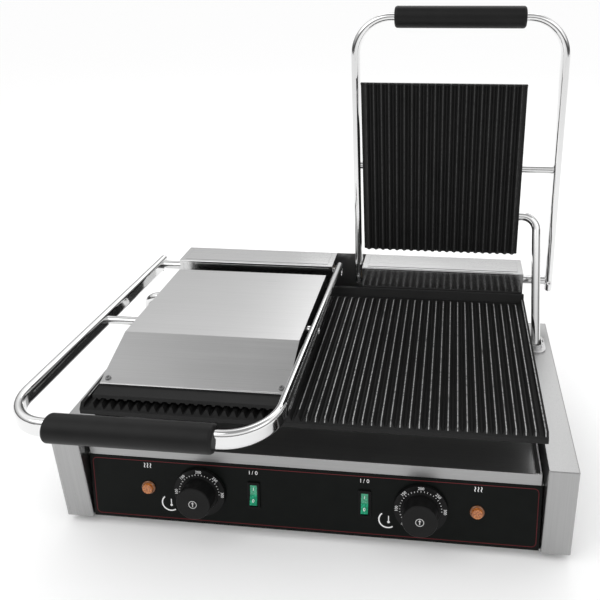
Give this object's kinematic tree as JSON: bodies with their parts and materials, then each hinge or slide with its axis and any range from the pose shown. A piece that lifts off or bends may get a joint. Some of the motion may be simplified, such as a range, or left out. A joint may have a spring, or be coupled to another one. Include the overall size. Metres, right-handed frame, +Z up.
{
  "type": "contact grill",
  "caption": "Countertop contact grill with a ribbed iron plate and two sprung ribbed lids on bow handles, dials, rocker switches and a drip tray; one lid shut, one open.",
  "frame": {"origin": "middle of the footprint on the table, under the feet", "axes": "+X to the grill's right-hand side as its user faces it, +Y to the rear, +Z up"},
  "size_m": [0.5856, 0.4104, 0.5536],
  "materials": {
    "side_steel": "satin stainless steel",
    "cover_steel": "brushed stainless steel",
    "stainless_sheet": "bright stainless steel",
    "tray_steel": "stainless steel",
    "plain_sheet": "galvanised steel",
    "dark_sheet": "steel, tinted by heat",
    "cast_iron": "seasoned black cast iron",
    "chrome": "polished chrome plate",
    "plated_steel": "zinc plated steel",
    "screw_steel": "stainless steel",
    "gland_zinc": "satin die-cast zinc",
    "grip_black": "black phenolic, satin",
    "rubber": "black rubber",
    "black_nylon": "black nylon",
    "ceramic": "white steatite",
    "bronze": "sintered bronze",
    "panel_black": "gloss black film with a red line",
    "element_sheath": "oxidised nickel alloy",
    "spring_steel": "oiled spring steel",
    "thermostat_case": "plated steel",
    "knob_black": "black, satin, with white numbers",
    "switch_black": "black",
    "green_lens": "clear green, lit",
    "orange_lens": "clear orange, lit"
  },
  "bodies": {
    "body": {"base_pan": "plain_sheet", "rear_panel": "stainless_sheet", "rear_shelf": "stainless_sheet", "inner_frame": "dark_sheet", "lower_plate": "cast_iron", "plate_rear_rim": "cast_iron", "heat_shield": "plain_sheet", "rubber_feet": "rubber", "cable_gland": "black_nylon", "terminal_block": "ceramic", "rear_bridge": "stainless_sheet", "hinge_bushes": "bronze", "control_panel": "panel_black", "side_panel_left": "side_steel", "lower_heater_left": "element_sheath", "spring_housing_left": "stainless_sheet", "torsion_spring_left": "spring_steel", "thermostat_left": "thermostat_case", "switch_housing_left": "switch_black", "indicator_lamp_left": "orange_lens", "conduit_gland_left": "gland_zinc", "gland_screws_left": "screw_steel", "side_panel_right": "side_steel", "lower_heater_right": "element_sheath", "spring_housing_right": "stainless_sheet", "torsion_spring_right": "spring_steel", "thermostat_right": "thermostat_case", "switch_housing_right": "switch_black", "indicator_lamp_right": "orange_lens", "conduit_gland_right": "gland_zinc", "gland_screws_right": "screw_steel"},
    "knob_left": {"thermostat_knob_left": "knob_black", "thermostat_spindle_left": "plated_steel"},
    "rocker_left": {"switch_rocker_left": "green_lens"},
    "bow_left": {"bow_handle_left": "chrome", "arm_set_screws_left": "screw_steel", "hinge_shaft_left": "plated_steel", "cross_rod_left": "plated_steel", "grip_left": "grip_black"},
    "lid_left": {"upper_plate_left": "cast_iron", "upper_heater_left": "element_sheath", "lid_cover_left": "cover_steel", "cover_screws_left": "screw_steel"},
    "conduit_body_left": {"conduit_left": "chrome"},
    "knob_right": {"thermostat_knob_right": "knob_black", "thermostat_spindle_right": "plated_steel"},
    "rocker_right": {"switch_rocker_right": "green_lens"},
    "bow_right": {"bow_handle_right": "chrome", "arm_set_screws_right": "screw_steel", "hinge_shaft_right": "plated_steel", "cross_rod_right": "plated_steel", "grip_right": "grip_black"},
    "lid_right": {"upper_plate_right": "cast_iron", "upper_heater_right": "element_sheath", "lid_cover_right": "cover_steel", "cover_screws_right": "screw_steel"},
    "conduit_body_right": {"conduit_right": "chrome"},
    "tray": {"drip_tray": "tray_steel"}
  },
  "joints": [
    {"name": "bow_left_hinge", "type": "hinge", "parent": "body", "child": "bow_left", "pos_m": [-0.15, 0.17222, 0.1764], "axis": [-1, 0, 0], "range_deg": [0, 91]},
    {"name": "lid_left_tilt", "type": "hinge", "parent": "bow_left", "child": "lid_left", "pos_m": [-0.1327, 0.00852, 0.18212], "axis": [1, 0, 0], "range_deg": [-1, 1]},
    {"name": "conduit_left_swivel", "type": "hinge", "parent": "bow_left", "child": "conduit_body_left", "pos_m": [-0.265, 0.07652, 0.17812], "axis": [-1, 0, 0], "range_deg": [-47.1, 0.3]},
    {"name": "knob_left_turn", "type": "hinge", "parent": "body", "child": "knob_left", "pos_m": [-0.1233, -0.1259, 0.0534], "axis": [0, -0.9884, 0.1518], "range_deg": [-180, 90]},
    {"name": "rocker_left_press", "type": "hinge", "parent": "body", "child": "rocker_left", "pos_m": [-0.062, -0.11997, 0.05249], "axis": [1, 0, 0], "range_deg": [0, 20]},
    {"name": "bow_right_hinge", "type": "hinge", "parent": "body", "child": "bow_right", "pos_m": [0.15, 0.17222, 0.1764], "axis": [1, 0, 0], "range_deg": [0, 90.5]},
    {"name": "lid_right_tilt", "type": "hinge", "parent": "bow_right", "child": "lid_right", "pos_m": [0.1327, 0.1808, 0.33998], "axis": [1, 0, 0], "range_deg": [-1, 1]},
    {"name": "conduit_right_swivel", "type": "hinge", "parent": "bow_right", "child": "conduit_body_right", "pos_m": [0.265, 0.1768, 0.27198], "axis": [1, 0, 0], "range_deg": [-46.8, 0.3]},
    {"name": "knob_right_turn", "type": "hinge", "parent": "body", "child": "knob_right", "pos_m": [0.1233, -0.1259, 0.0534], "axis": [0, -0.9884, 0.1518], "range_deg": [-180, 90]},
    {"name": "rocker_right_press", "type": "hinge", "parent": "body", "child": "rocker_right", "pos_m": [0.062, -0.11997, 0.05249], "axis": [1, 0, 0], "range_deg": [0, 20]},
    {"name": "tray_slide", "type": "slide", "parent": "body", "child": "tray", "axis": [0, -1, 0], "range_m": [0, 0.06]}
  ],
  "couplings": [
    {"joint": "conduit_left_swivel", "follows": "bow_left_hinge", "ratio": -0.514},
    {"joint": "conduit_right_swivel", "follows": "bow_right_hinge", "ratio": -0.5137}
  ]
}
